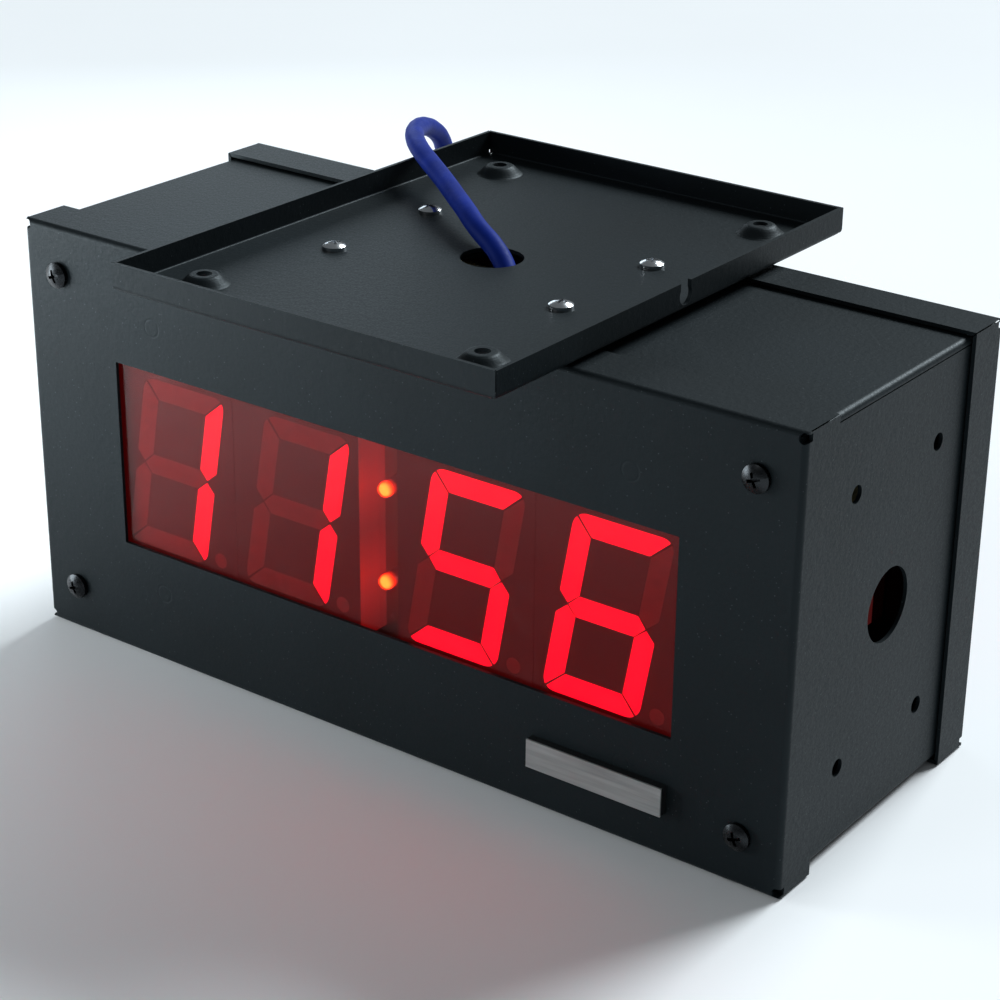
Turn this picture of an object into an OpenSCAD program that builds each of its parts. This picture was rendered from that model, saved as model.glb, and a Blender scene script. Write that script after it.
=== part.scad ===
// Double-sided ceiling clock with two four-digit LED displays, a folded steel housing,
// two bezels that pull off and a mounting tray on top, standing on its bezels.
// X is the width, the front display faces -Y, +Z is up. Origin: centre of the resting face.

/* [Body] */
// Overall width over the bezels
body_w = 281.5; // [276:0.5:290]
// Height of the bezels
body_h = 138.5; // [137:0.5:141]
// Depth from the front face to the rear face
body_d = 109.5; // [106:0.5:116]
// Thickness of every steel sheet
sheet = 1.2; // [1:0.1:1.3]
// Outside radius of a bend
bend = 1.8; // [1.6:0.1:2.2]
// Depth of the bezel's flanges over the housing
bezel_lip = 16.7; // [15:0.1:18]
// Step from the bezel's outside down to the housing's outside
housing_step = 1.7; // [1.6:0.1:2]

/* [Window and digits] */
// Width of the window
window_w = 208; // [204:1:209]
// Height of the window
window_h = 61.5; // [60:0.5:62]
// Height of the window's centre above the resting face
window_z = 68.6; // [68:0.1:69.5]
// Thickness of the red filter
lens_t = 1; // [0.8:0.1:1.2]
// Height of a digit
digit_h = 58; // [56:0.5:58.5]
// Width of a digit, its slant left out
digit_w = 33.1; // [32:0.1:34]
// Width of a segment
segment_w = 6.6; // [6:0.1:7]
// Slant of the digits in degrees
slant = 10; // [8:1:12]
// Distance between neighbouring digits
digit_pitch = 49.5; // [49.4:0.1:50]
// Digits off the window's centre, along X
digits_x = -1.6; // [-2:0.1:0]
// Height of the digits' centre
digits_z = 67.2; // [67:0.1:68]

/* [Mounting tray] */
// Width of the tray
tray_w = 136.8; // [134:0.2:140]
// Depth of the tray
tray_d = 177.6; // [174:0.2:180]
// Height of the tray's flanges
tray_h = 8.5; // [8:0.1:10]
// Distance between the corner holes along X
corner_x = 100; // [96:1:102]
// Distance between the corner holes along Y
corner_y = 140.5; // [138:0.5:142]
// Height of the raised dimples
dimple_h = 3; // [2:0.1:3.5]
// Diameter of the central cable hole
cable_hole_d = 19.2; // [18:0.1:20]
// Long distance of the box screw pattern
box_long = 83.4; // [82:0.1:84]
// Short distance of the box screw pattern
box_short = 46; // [45:0.1:47]

/* [Cable] */
// Diameter of the network cable
cable_d = 6.4; // [6.2:0.1:6.4]
// Sides of the cable's tube
cable_sides = 10; // [8:1:12]

/* [Hidden] */
$fn = 48;

// Colours
powder = "#23282b";
zinc = "#b9bdc0";
black_steel = "#15171a";
board_green = "#1f4d33";
black_plastic = "#17181a";
filter_red = [0.45, 0.05, 0.06, 0.45];
lit_red = "#ff1637";
unlit_red = "#7a2227";
cable_blue = "#1b2f86";
badge_grey = "#a3a5a3";

// Housing: it sits inside both bezels
housing_w = body_w - 2 * housing_step;
housing_z0 = housing_step;
housing_z1 = body_h - housing_step;
housing_in_w = housing_w - 2 * sheet;
plate_gap = 0.15;                                // between the bezel's plate and the housing's lips
housing_d = body_d - 2 * sheet - 2 * plate_gap;
seam_z = housing_z1 - 1.9;                       // lower edge of the top's turned-down sides
seam = 0.4;                                      // open line between the top and the base
lip_w = 20;                                      // inward lips left and right
lip_h = 9.5;                                     // inward lips at top and bottom
side_hole_r = 11.3;
side_screw_r = 2.7;
side_z = 68.5;
top_hole_r = 16;

// Bezel
front_y = -body_d / 2;
corner_notch_r = 1.5;
corner_slit = 0.35;
bezel_screw_x = 127;
bezel_screw_dz = 53.5;
stud_x = 87.8;
stud_dz = 44.8;
mid_z = body_h / 2;
head_r = 4.1;
head_h = 2.6;
screw_r = 2.08;
screw_clear = 0.07;
screw_len = 11;

// Depths behind the front face
tape_t = 0.4;
lens_y = sheet + tape_t;
digit_y = lens_y + lens_t + 0.1;
module_t = 12;
board_y = digit_y + module_t;
board_t = 1.6;
lens_w = 222;
lens_h = 74;
module_w = 49.3;
module_h = 70;
pocket = 0.8;
colon_space = 30;
led_r = 2.5;
led_h = 7.6;                                     // height of a colon LED below its dome
led_base_r = 2.9;
led_base_h = 1.9;
inner_x = 31.9;                                  // digit centres either side of the colon
display_w = 218;
display_h = 104;
stud_r = 2;
stud_len = 20;
lit = [["b", "c"], ["b", "c"], ["a", "f", "g", "c", "d"], ["a", "f", "g", "e", "c", "d"]];
segments = ["a", "b", "c", "d", "e", "f", "g"];

// Tray
tray_z = 139.7;
tray_floor = tray_z + sheet;
tray_screw_r = 1.75;
spacer_r = 4.5;
notch_w = 5.2;
notch_r = 3.1;
dimple_r = 8;
dimple_top_r = 3.7;
bell_rings = 8;
corner_hole_r = 2.3;
relief_in = 1.3;                                 // relief hole's centre, in from both flanges
groove_w = 0.3;
groove_depth = 0.9;

// Controller
base_floor = housing_z0 + sheet;
pcb_x0 = -104;
pcb_x1 = 46;
pcb_d = 56;
pcb_z = 10.5;
pcb_top = pcb_z + board_t;
jack_l = 21.5;
jack_w = 16;
jack_h = 13.5;
plug_z = pcb_top + 6.4;
plug_l = 21.5;
plug_w = 11.6;
plug_h = 8;
boot_l = 14;
header_x = 0;
header_w = 20;
socket_w = 17.5;
socket_t = 6;
board_header_z = 61;
header_depth = 9;
header_back = front_y + board_y + board_t;       // rear face of the display board
ribbon_w = 12.6;
ribbon_t = 1;
ribbon_y = 20;
ribbon_r = 4;

// Route of the free cable: out of the tray, over its left flange, down behind the clock, onto the coil
cable_route = [
  [8.5, -2.5, 136], [3.5, 0.5, 140.5], [-2, 3, 143.5], [-8, 5.5, 145.5], [-14, 9, 147], [-19.5, 13, 148],
  [-29.5, 20.5, 149],
  [-39.5, 28, 150], [-50, 35.5, 151], [-60.5, 43, 152], [-69.5, 51, 152], [-75, 57, 151.5], [-80.5, 64, 151],
  [-85, 72, 150], [-87.5, 78, 148.5], [-89.5, 85, 145.5], [-91, 91, 141], [-92.5, 95, 135.5],
  [-93.5, 97.5, 128.5],
  [-94, 98.5, 120.5], [-94, 98, 106], [-94, 97, 91.5], [-94, 97, 77.5], [-94, 97, 63], [-93.5, 97, 49],
  [-92.5, 97.5, 41], [-91, 98.5, 34.5], [-87.5, 100.5, 27], [-82.5, 103, 21.5], [-76.5, 106, 17.5],
  [-70.5, 109, 16]
];
// The same cable inside: out of its plug, up to the side hole's height and back to the tray's hole
inner_route = [
  [66, 0, 18.5], [79.5, 0, 19], [87.5, 0, 21], [94, 0, 24], [100.5, 0, 29], [105.5, -0.5, 35.5],
  [108.5, -0.5, 43],
  [109.5, -0.5, 50], [109, -0.5, 58], [106.5, -1, 66], [102.5, -1.5, 73], [97, -2.5, 80], [87.5, -4, 89],
  [76.5, -5.5, 97], [63.5, -6.5, 104.5], [51, -7.5, 111], [38, -8.5, 117.5], [25.5, -8, 124],
  [19.5, -7, 127.5],
  [14, -5, 131.5], [8.5, -2.5, 136]
];
coil_x = -88;
coil_y = 146.5;
coil_turns_wide = 3;
coil_turns_high = 3;
coil_mid_r = 35.2;
coil_in_r = coil_mid_r - coil_turns_wide * cable_d / 2;
coil_out_r = coil_mid_r + coil_turns_wide * cable_d / 2;
coil_h = coil_turns_high * cable_d;
tail_route = [
  [-105, 108.5, 3.2], [-97.5, 105, 3.2], [-90, 102, 3.2], [-83, 99, 3.3], [-76.5, 97, 3.5], [-70, 96.3, 3.8],
  [-62, 96.3, 4], [-54, 96.3, 4]
];
tail_end = tail_route[len(tail_route) - 1];
tie_t = 1;
tie_w = 12;

// ---- Shared shapes ----

// Places a part of a display set as seen from the front, or turned round for the rear
module front() { children(); }
module rear() { rotate([0, 0, 180]) children(); }

module each_corner(dx, dz) {
  for (i = [-1, 1], j = [-1, 1]) translate([i * dx, 0, j * dz]) children();
}

module along_y(r, l) { rotate([-90, 0, 0]) cylinder(r = r, h = l); }

// Block from the front face back, with its front edges rounded by r
module front_block(w, h, depth, r) {
  intersection() {
    translate([-w / 2, 0, 0]) rotate([90, 0, 90]) linear_extrude(w) {
      translate([r, 0]) square([depth - r, h]);
      translate([0, r]) square([depth, h - 2 * r]);
      for (z = [r, h - r]) translate([r, z]) circle(r);
    }
    linear_extrude(h) {
      translate([-w / 2, r]) square([w, depth - r]);
      translate([-w / 2 + r, 0]) square([w - 2 * r, depth]);
      for (i = [-1, 1]) translate([i * (w / 2 - r), r]) circle(r);
    }
  }
}

// Flat outline with two rounded lower corners
module trough(w, h, r) {
  translate([-w / 2, r]) square([w, h - r]);
  translate([-w / 2 + r, 0]) square([w - 2 * r, h]);
  for (i = [-1, 1]) intersection() {
    translate([i * (w / 2 - r), r]) circle(r);
    translate([-w / 2, 0]) square([w, h]);
  }
}

module extrude_y(l) { translate([0, l / 2, 0]) rotate([90, 0, 0]) linear_extrude(l) children(); }

// Phillips pan head standing on z = 0 with its shank below
module pan_screw(hr, hh, sr, sl) {
  difference() {
    union() {
      intersection() {
        cylinder(r = hr, h = hh);
        translate([0, 0, hh - 1.75 * hr]) sphere(r = 1.75 * hr);
      }
      translate([0, 0, -sl]) cylinder(r = sr, h = sl + 0.1);
    }
    for (a = [0, 90]) rotate(a)
      translate([-hr * 0.52, -hr * 0.11, hh * 0.4]) cube([hr * 1.04, hr * 0.22, hh]);
  }
}

module ring(ro, ri, h) {
  difference() {
    cylinder(r = ro, h = h);
    translate([0, 0, -1]) cylinder(r = ri, h = h + 2);
  }
}

module block(x0, x1, y0, y1, z0, z1) { translate([x0, y0, z0]) cube([x1 - x0, y1 - y0, z1 - z0]); }

// ---- Swept tube through a list of points ----

function unit(v) = v / norm(v);
function way(p, i) = unit(p[min(i + 1, len(p) - 1)] - p[max(i - 1, 0)]);
function side_of(d) = unit(cross(d, abs(d[2]) < 0.9 ? [0, 0, 1] : [0, 1, 0]));
// Each ring's first side is carried on from the ring before, so that the tube doesn't twist
function sides(p, i = 0, s = undef) =
  let (d = way(p, i), c = s == undef ? side_of(d) : unit(s - d * (s * d)))
  i == len(p) - 1 ? [c] : concat([c], sides(p, i + 1, c));
module tube(p, r, n) {
  s = sides(p);
  pts = [for (i = [0 : len(p) - 1], k = [0 : n - 1])
    let (d = way(p, i), t = cross(d, s[i]), a = 360 * k / n) p[i] + r * (cos(a) * s[i] + sin(a) * t)];
  walls = [for (i = [0 : len(p) - 2], k = [0 : n - 1])
    [i * n + k, (i + 1) * n + k, (i + 1) * n + (k + 1) % n, i * n + (k + 1) % n]];
  polyhedron(pts, concat([[for (k = [0 : n - 1]) k]], walls,
    [[for (k = [n - 1 : -1 : 0]) (len(p) - 1) * n + k]]));
}

// ---- Housing ----

module housing_base() color(powder) {
  side_top = seam_z - seam;
  difference() {
    union() {
      difference() {
        extrude_y(housing_d) translate([0, housing_z0]) trough(housing_w, side_top - housing_z0, bend);
        extrude_y(housing_d + 2) translate([0, base_floor])
          trough(housing_in_w, body_h, bend - sheet);
      }
      // Inward lips round both open ends
      for (e = [-1, 1]) {
        y0 = e < 0 ? -housing_d / 2 : housing_d / 2 - sheet;
        for (i = [-1, 1])
          translate([i * (housing_in_w / 2 - (lip_w - sheet) / 2) - (lip_w - sheet) / 2, y0, base_floor])
            cube([lip_w - sheet, sheet, side_top - base_floor]);
        translate([-housing_in_w / 2 + lip_w, y0, base_floor])
          cube([housing_in_w - 2 * lip_w, sheet, lip_h]);
      }
      // Tabs behind the seam, spot-welded to the sides
      for (i = [-1, 1], j = [-1, 1])
        translate([i * (housing_in_w / 2 - sheet / 2) - sheet / 2, j * 38 - 6, side_top - 16])
          cube([sheet, 12, 16 + seam + 0.1]);
    }
    for (i = [-1, 1]) translate([i * housing_w / 2, 0, side_z]) rotate([0, 90, 0]) {
      translate([0, 0, -4]) cylinder(r = side_hole_r, h = 8);
      for (a = [-1, 1], b = [-1, 1])
        translate([a * box_long / 2, b * box_short / 2, -4]) cylinder(r = side_screw_r, h = 8);
    }
    for (e = [-1, 1]) translate([0, e * (housing_d / 2 - sheet / 2) - 2, mid_z])
      each_corner(bezel_screw_x, bezel_screw_dz) along_y(2.8, 4);
  }
}

module housing_top() color(powder) {
  difference() {
    union() {
      difference() {
        extrude_y(housing_d) translate([0, housing_z1]) mirror([0, 1])
          trough(housing_w, housing_z1 - seam_z, bend);
        extrude_y(housing_d + 2) translate([0, housing_z1 - sheet]) mirror([0, 1])
          trough(housing_in_w, body_h / 2, bend - sheet);
      }
      for (e = [-1, 1]) {
        y0 = e < 0 ? -housing_d / 2 : housing_d / 2 - sheet;
        translate([-housing_in_w / 2 + lip_w, y0, housing_z1 - sheet - lip_h])
          cube([housing_in_w - 2 * lip_w, sheet, lip_h]);
      }
    }
    translate([0, 0, housing_z1 - 5]) cylinder(r = top_hole_r, h = 10);
    for (i = [-1, 1], j = [-1, 1])
      translate([i * box_long / 2, j * box_short / 2, housing_z1 - 5]) cylinder(r = 2.4, h = 10);
  }
}

// Clinch nuts in the housing's lips: a shank in the sheet and a body behind it
module bezel_nuts() color(zinc) {
  for (t = [0, 180]) rotate(t) translate([0, -housing_d / 2, mid_z])
    each_corner(bezel_screw_x, bezel_screw_dz) rotate([-90, 0, 0]) difference() {
      union() {
        cylinder(r = 2.75, h = sheet + 0.1);
        translate([0, 0, sheet]) cylinder(r = 4, h = 2.6);
      }
      translate([0, 0, -1]) cylinder(r = screw_r + screw_clear, h = 6);
    }
}

module tray_nuts() color(zinc) {
  for (i = [-1, 1], j = [-1, 1])
    translate([i * box_long / 2, j * box_short / 2, housing_z1 - sheet]) difference() {
      union() {
        translate([0, 0, -2.4]) cylinder(r = 3.6, h = 2.4);
        cylinder(r = 2.35, h = sheet);
      }
      translate([0, 0, -3]) cylinder(r = tray_screw_r + 0.05, h = 6);
    }
}

// ---- Mounting tray ----

// Bell with a flat top, whose side runs out softly at both ends
function bell(r0, r1, h) = [for (k = [0 : bell_rings])
  let (t = k / bell_rings) [r0 + (r1 - r0) * t, h * t * t * (3 - 2 * t)]];
module dimple(extra, h) {
  rotate_extrude() polygon(concat([[0, 0]], bell(dimple_r + extra, dimple_top_r + extra, h), [[0, h]]));
}

module mounting_tray() color(powder) {
  difference() {
    union() {
      difference() {
        intersection() {
          extrude_y(tray_d) translate([0, tray_z]) trough(tray_w, tray_h, bend);
          rotate(90) extrude_y(tray_w) translate([0, tray_z]) trough(tray_d, tray_h, bend);
        }
        intersection() {
          extrude_y(tray_d) translate([0, tray_floor]) trough(tray_w - 2 * sheet, tray_h, bend - sheet);
          rotate(90) extrude_y(tray_w) translate([0, tray_floor])
            trough(tray_d - 2 * sheet, tray_h, bend - sheet);
        }
      }
      for (i = [-1, 1], j = [-1, 1])
        translate([i * corner_x / 2, j * corner_y / 2, tray_floor - 0.1]) dimple(0, dimple_h + 0.1);
    }
    for (i = [-1, 1], j = [-1, 1]) {
      translate([i * corner_x / 2, j * corner_y / 2, tray_z - 0.01]) {
        dimple(-sheet, dimple_h);
        cylinder(r = corner_hole_r, h = 10);
      }
      translate([i * box_long / 2, j * box_short / 2, tray_z - 1]) cylinder(r = 2, h = 4);
      // Closed corner: a relief hole at the bend and a groove up the seam
      translate([i * (tray_w / 2 - relief_in), j * (tray_d / 2 - relief_in), tray_z - 1])
        cylinder(r = 1, h = sheet + 2.2);
      translate([i * tray_w / 2, j * tray_d / 2, tray_z]) rotate(i * j * 45)
        translate([-groove_depth, -groove_w / 2, 1]) cube([2 * groove_depth, groove_w, tray_h]);
    }
    translate([0, 0, tray_z - 1]) cylinder(r = cable_hole_d / 2, h = 4);
    // Keyhole notch in the middle of the right flange
    translate([tray_w / 2 - 3, -notch_w / 2, tray_floor + 2]) cube([6, notch_w, tray_h]);
    translate([tray_w / 2 - 3, 0, tray_floor + 0.4 + notch_r]) rotate([0, 90, 0])
      cylinder(r = notch_r, h = 6);
  }
}

module tray_spacers() color(zinc) {
  for (i = [-1, 1], j = [-1, 1])
    translate([i * box_long / 2, j * box_short / 2, housing_z1]) ring(spacer_r, 2, tray_z - housing_z1);
}

module tray_screws() color("#d5d8da") {
  for (i = [-1, 1], j = [-1, 1])
    translate([i * box_long / 2, j * box_short / 2, tray_floor]) rotate(i * 25 + j * 12)
      pan_screw(3.65, 2.3, tray_screw_r, 9);
}

// ---- Display set, as the front one ----

module at_face(y) { translate([0, front_y + y, 0]) children(); }

module bezel() color(powder) at_face(0) {
  difference() {
    front_block(body_w, body_h, bezel_lip, bend);
    translate([0, sheet, sheet])
      front_block(body_w - 2 * sheet, body_h - 2 * sheet, bezel_lip + 1, bend - sheet);
    translate([-window_w / 2, -1, window_z - window_h / 2]) cube([window_w, sheet + 2, window_h]);
    translate([0, -1, mid_z]) each_corner(bezel_screw_x, bezel_screw_dz) along_y(2.4, 4);
    for (i = [-1, 1], j = [-1, 1]) {
      translate([i * (body_w / 2 - 1), -1, mid_z + j * (mid_z - 1.9)]) along_y(corner_notch_r, 4);
      translate([i * body_w / 2, 2, mid_z + j * mid_z]) rotate([0, i * j * 45, 0])
        translate([-corner_slit / 2, 0, -4]) cube([corner_slit, bezel_lip, 8]);
    }
  }
}

module lens() color(filter_red) at_face(lens_y)
  translate([-lens_w / 2, 0, window_z - lens_h / 2]) cube([lens_w, lens_t, lens_h]);

module lens_gasket() color("#101113") at_face(sheet) difference() {
  translate([-lens_w / 2, 0, window_z - lens_h / 2]) cube([lens_w, tape_t, lens_h]);
  translate([-window_w / 2 - 1, -1, window_z - window_h / 2 - 1]) cube([window_w + 2, 3, window_h + 2]);
}

module display_board() color(board_green) at_face(board_y) difference() {
  translate([-display_w / 2, 0, mid_z - display_h / 2]) cube([display_w, board_t, display_h]);
  translate([0, -1, mid_z]) each_corner(stud_x, stud_dz) along_y(2.2, 4);
}

function digit_x(n) = digits_x + [-inner_x - digit_pitch, -inner_x, inner_x, inner_x + digit_pitch][n];
function lean(p) = [for (q = p) [q[0] + q[1] * tan(slant), q[1]]];
function arc(x, y, r, a0, a1) = [for (k = [0 : 4])
  let (a = a0 + (a1 - a0) * k / 4) [x + r * cos(a), y + r * sin(a)]];
function flip_x(p) = [for (k = [len(p) - 1 : -1 : 0]) [-p[k][0], p[k][1]]];
function flip_y(p) = [for (k = [len(p) - 1 : -1 : 0]) [p[k][0], -p[k][1]]];
dw = digit_w / 2;
dh = digit_h / 2;
sw = segment_w;
sg = 0.2;                                        // half the gap between segments
round_r = 4.3;                                   // outer corners of a digit
round_a = 5;                                     // half the gap's angle on that arc
seg_a = concat([[-dw + sw + 2 * sg, dh - sw]], [[dw - sw - 2 * sg, dh - sw]],
  arc(dw - round_r, dh - round_r, round_r, 45 + round_a, 90),
  flip_x(arc(dw - round_r, dh - round_r, round_r, 45 + round_a, 90)));
seg_b = concat([[dw - sw, dh - sw - 2 * sg], [dw - sw, sw / 2 + 1.4 * sg], [dw - sw / 2, 2 * sg],
  [dw, sw / 2 + 1.4 * sg]], arc(dw - round_r, dh - round_r, round_r, 0, 45 - round_a));
seg_g = [[-dw + sw / 2 + 2 * sg, 0], [-dw + sw + sg, -sw / 2], [dw - sw - sg, -sw / 2],
  [dw - sw / 2 - 2 * sg, 0],
  [dw - sw - sg, sw / 2], [-dw + sw + sg, sw / 2]];
function outline(s) =
  s == "a" ? seg_a : s == "b" ? seg_b : s == "c" ? flip_y(seg_b) : s == "d" ? flip_y(seg_a)
  : s == "e" ? flip_x(flip_y(seg_b)) : s == "f" ? flip_x(seg_b) : seg_g;
function is_lit(n, s) = len([for (q = lit[n]) if (q == s) q]) > 0;

module segment_shape(s) {
  rotate([90, 0, 0]) translate([0, 0, -pocket]) linear_extrude(pocket) polygon(lean(outline(s)));
}
module dot_shape() { translate([17.7, 0, -25.6]) along_y(2.5, pocket); }

module digits() color("#2a2526") at_face(digit_y) for (n = [0 : 3]) translate([digit_x(n), 0, digits_z])
  difference() {
    translate([-module_w / 2, 0, -module_h / 2]) cube([module_w, module_t, module_h]);
    for (s = segments) segment_shape(s);
    dot_shape();
  }

module lit_segments() color(lit_red) at_face(digit_y)
  for (n = [0 : 3], s = segments) if (is_lit(n, s)) translate([digit_x(n), 0, digits_z]) segment_shape(s);

module unlit_segments() color(unlit_red) at_face(digit_y)
  for (n = [0 : 3]) translate([digit_x(n), 0, digits_z]) {
    for (s = segments) if (!is_lit(n, s)) segment_shape(s);
    dot_shape();
  }

// Two round LEDs on the board in the gap between the inner digits
module colon_leds() color("#ff7a1c") at_face(board_y) for (j = [-1, 1])
  translate([digits_x, 0, digits_z + j * colon_space / 2]) rotate([90, 0, 0]) {
    cylinder(r = led_base_r, h = led_base_h);
    translate([0, 0, led_base_h]) cylinder(r = led_r, h = led_h - led_base_h);
    translate([0, 0, led_h]) intersection() {
      sphere(r = led_r);
      cylinder(r = led_r, h = led_r + 0.5);
    }
  }

module weld_studs() color(zinc) at_face(sheet) translate([0, 0, mid_z]) each_corner(stud_x, stud_dz) {
  along_y(2.9, 0.8);
  along_y(stud_r, stud_len);
}

module stud_spacers() color(zinc) at_face(sheet + 0.8) translate([0, 0, mid_z]) each_corner(stud_x, stud_dz)
  rotate([-90, 0, 0]) ring(3.5, stud_r + 0.1, board_y - sheet - 0.8);

module stud_nuts() color(zinc) at_face(board_y + board_t) translate([0, 0, mid_z])
  each_corner(stud_x, stud_dz) rotate([-90, 0, 0]) difference() {
    cylinder(r = 4.04, h = 2.4, $fn = 6);
    translate([0, 0, -1]) cylinder(r = stud_r + 0.05, h = 5);
  }

module bezel_screws() color(black_steel) at_face(0) translate([0, 0, mid_z])
  each_corner(bezel_screw_x, bezel_screw_dz) rotate([90, 0, 0]) rotate(20)
    pan_screw(head_r, head_h, screw_r, screw_len);

// Open box header on the back of the display board
module board_header() color(black_plastic) translate([header_x, header_back, board_header_z]) difference() {
  translate([-header_w / 2, 0, -4.5]) cube([header_w, header_depth, 9]);
  translate([-header_w / 2 + 1, 2, -3.25]) cube([header_w - 2, header_depth, 6.5]);
}

module driver_chips() color(black_plastic) at_face(board_y + board_t) {
  for (x = [-36, 16]) block(x, x + 18, 0, 2.3, 60, 67.5);
  for (x = [42, 62, 82]) block(x, x + 10, 0, 1.8, 44, 48);
}

// Plain raised name plate with no lettering
module badge() color(badge_grey) at_face(0) block(57, 103.3, -3, 0, 14.2, 23.2);

// ---- Controller inside the housing ----

module controller_board() color(board_green) difference() {
  block(pcb_x0, pcb_x1, -pcb_d / 2, pcb_d / 2, pcb_z, pcb_top);
  for (x = [pcb_x0 + 4, pcb_x1 - 4], y = [-24, 24]) translate([x, y, pcb_z - 1]) cylinder(r = 1.6, h = 4);
}

module board_standoffs() color(zinc) for (x = [pcb_x0 + 4, pcb_x1 - 4], y = [-24, 24])
  translate([x, y, base_floor]) difference() {
    cylinder(r = 3, h = pcb_z - base_floor, $fn = 6);
    translate([0, 0, 2]) cylinder(r = 1.5, h = 10);
  }

module board_screws() color(zinc) for (x = [pcb_x0 + 4, pcb_x1 - 4], y = [-24, 24])
  translate([x, y, pcb_top]) pan_screw(2.8, 1.9, 1.45, 5);

module network_jack() color("#c3c6c8") difference() {
  block(pcb_x1 - jack_l, pcb_x1, -jack_w / 2, jack_w / 2, pcb_top, pcb_top + jack_h);
  block(pcb_x1 - 13, pcb_x1 + 1, -plug_w / 2 - 0.1, plug_w / 2 + 0.1, plug_z - 4.2, plug_z + 4.2);
  block(pcb_x1 - 13, pcb_x1 + 1, -3.4, 3.4, plug_z + 4, plug_z + 6);
}

module power_transformer() color("#4a463e") {
  block(-56, -36, -9, 9, pcb_top + 2, pcb_top + 14);
  block(-51, -41, -10.5, 10.5, pcb_top, pcb_top + 12);
}

module capacitors() color("#1d2c55") {
  translate([-26, 13, pcb_top]) cylinder(r = 5, h = 16);
  translate([-26, 0, pcb_top]) cylinder(r = 5, h = 16);
  translate([-27, -14, pcb_top]) cylinder(r = 4, h = 11.5);
}

module controller_chips() color(black_plastic) {
  block(-82, -68, -7, 7, pcb_top, pcb_top + 1.4);
  block(-97, -89, -6, 4, pcb_top, pcb_top + 1.2);
  block(-8, 6, -5, 5, pcb_top, pcb_top + 1.6);
  block(14, 20, 14, 22, pcb_top, pcb_top + 1.8);
}

module controller_headers() color(black_plastic) for (t = [-1, 1])
  translate([header_x, t * ribbon_y, pcb_top]) difference() {
    translate([-header_w / 2, -4.5, 0]) cube([header_w, 9, header_depth]);
    translate([-header_w / 2 + 1, -3.25, 2]) cube([header_w - 2, 6.5, header_depth]);
  }

socket_y = header_back + 2.2;                    // front face of the socket in a display board's header
socket_out = header_depth + 1;

module ribbon_sockets() color(black_plastic) for (t = [0, 180]) rotate(t) {
  translate([-socket_w / 2, -ribbon_y - socket_t / 2, pcb_top + 2.2]) cube([socket_w, socket_t, socket_out]);
  translate([-socket_w / 2, socket_y, board_header_z - socket_t / 2]) cube([socket_w, socket_out, socket_t]);
}

// Flat cables: up from the controller, round a bend and into the display board's socket
module ribbon_cables() color("#9aa0a6") for (t = [0, 180]) rotate(t)
  translate([-ribbon_w / 2, 0, 0]) rotate([90, 0, 90]) linear_extrude(ribbon_w) {
    z0 = pcb_top + 2.2 + socket_out;
    y1 = socket_y + socket_out;
    translate([-ribbon_y - ribbon_t / 2, z0]) square([ribbon_t, board_header_z - ribbon_r - z0]);
    translate([y1, board_header_z - ribbon_t / 2]) square([-ribbon_y - ribbon_r - y1, ribbon_t]);
    translate([-ribbon_y - ribbon_r, board_header_z - ribbon_r]) intersection() {
      difference() {
        circle(ribbon_r + ribbon_t / 2);
        circle(ribbon_r - ribbon_t / 2);
      }
      square(2 * ribbon_r);
    }
  }

module rj45_plug() {
  difference() {
    translate([0, -plug_w / 2, -plug_h / 2]) cube([plug_l, plug_w, plug_h]);
    for (k = [0 : 7]) translate([-1, (k - 3.5) * 1.02 - 0.25, -plug_h / 2 - 1]) cube([7, 0.5, 3]);
  }
  translate([2, -3, plug_h / 2 - 0.3]) rotate([0, -5, 0]) cube([15, 6, 1]);
  translate([plug_l, 0, 0]) rotate([0, 90, 0]) cylinder(r1 = plug_h / 2, r2 = cable_d / 2 + 0.6, h = boot_l);
}

module inner_plug() color("#cfd6da") translate([pcb_x1 - 12, 0, plug_z]) rj45_plug();

module inner_lead() color(cable_blue) tube(inner_route, cable_d / 2, cable_sides);

// ---- Free cable, its coil and its plug ----

module network_cable() color(cable_blue) tube(cable_route, cable_d / 2, cable_sides);

module cable_coil() color(cable_blue) translate([coil_x, coil_y, 0]) rotate_extrude($fn = 96)
  translate([coil_in_r, 0]) square([coil_out_r - coil_in_r, coil_h]);

module coil_tie() color(black_plastic) translate([coil_x, coil_y, 0]) rotate(200) difference() {
  translate([coil_in_r - tie_t, -tie_w / 2, 0])
    cube([coil_out_r - coil_in_r + 2 * tie_t, tie_w, coil_h + tie_t]);
  translate([coil_in_r, -tie_w, tie_t]) cube([coil_out_r - coil_in_r, 2 * tie_w, coil_h - tie_t]);
}

module cable_tail() color(cable_blue) tube(tail_route, cable_d / 2, cable_sides);

module network_plug() color("#cfd6da") translate([tail_end[0] - 3 + plug_l + boot_l, tail_end[1], 4])
  mirror([1, 0, 0]) rj45_plug();

housing_base();
housing_top();
bezel_nuts();
mounting_tray();
tray_spacers();
tray_screws();
tray_nuts();
controller_board();
board_standoffs();
board_screws();
network_jack();
power_transformer();
capacitors();
controller_chips();
controller_headers();
ribbon_cables();
ribbon_sockets();
inner_plug();
inner_lead();
network_cable();
cable_coil();
coil_tie();
cable_tail();
network_plug();
front() bezel();  // front_bezel
front() lens();  // front_lens
front() lens_gasket();  // front_lens_gasket
front() display_board();  // front_display_board
front() digits();  // front_digits
front() lit_segments();  // front_lit_segments
front() unlit_segments();  // front_unlit_segments
front() colon_leds();  // front_colon_leds
front() weld_studs();  // front_weld_studs
front() stud_spacers();  // front_stud_spacers
front() stud_nuts();  // front_stud_nuts
front() bezel_screws();  // front_bezel_screws
front() board_header();  // front_board_header
front() driver_chips();  // front_driver_chips
front() badge();  // front_badge
rear() bezel();  // rear_bezel
rear() lens();  // rear_lens
rear() lens_gasket();  // rear_lens_gasket
rear() display_board();  // rear_display_board
rear() digits();  // rear_digits
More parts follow.
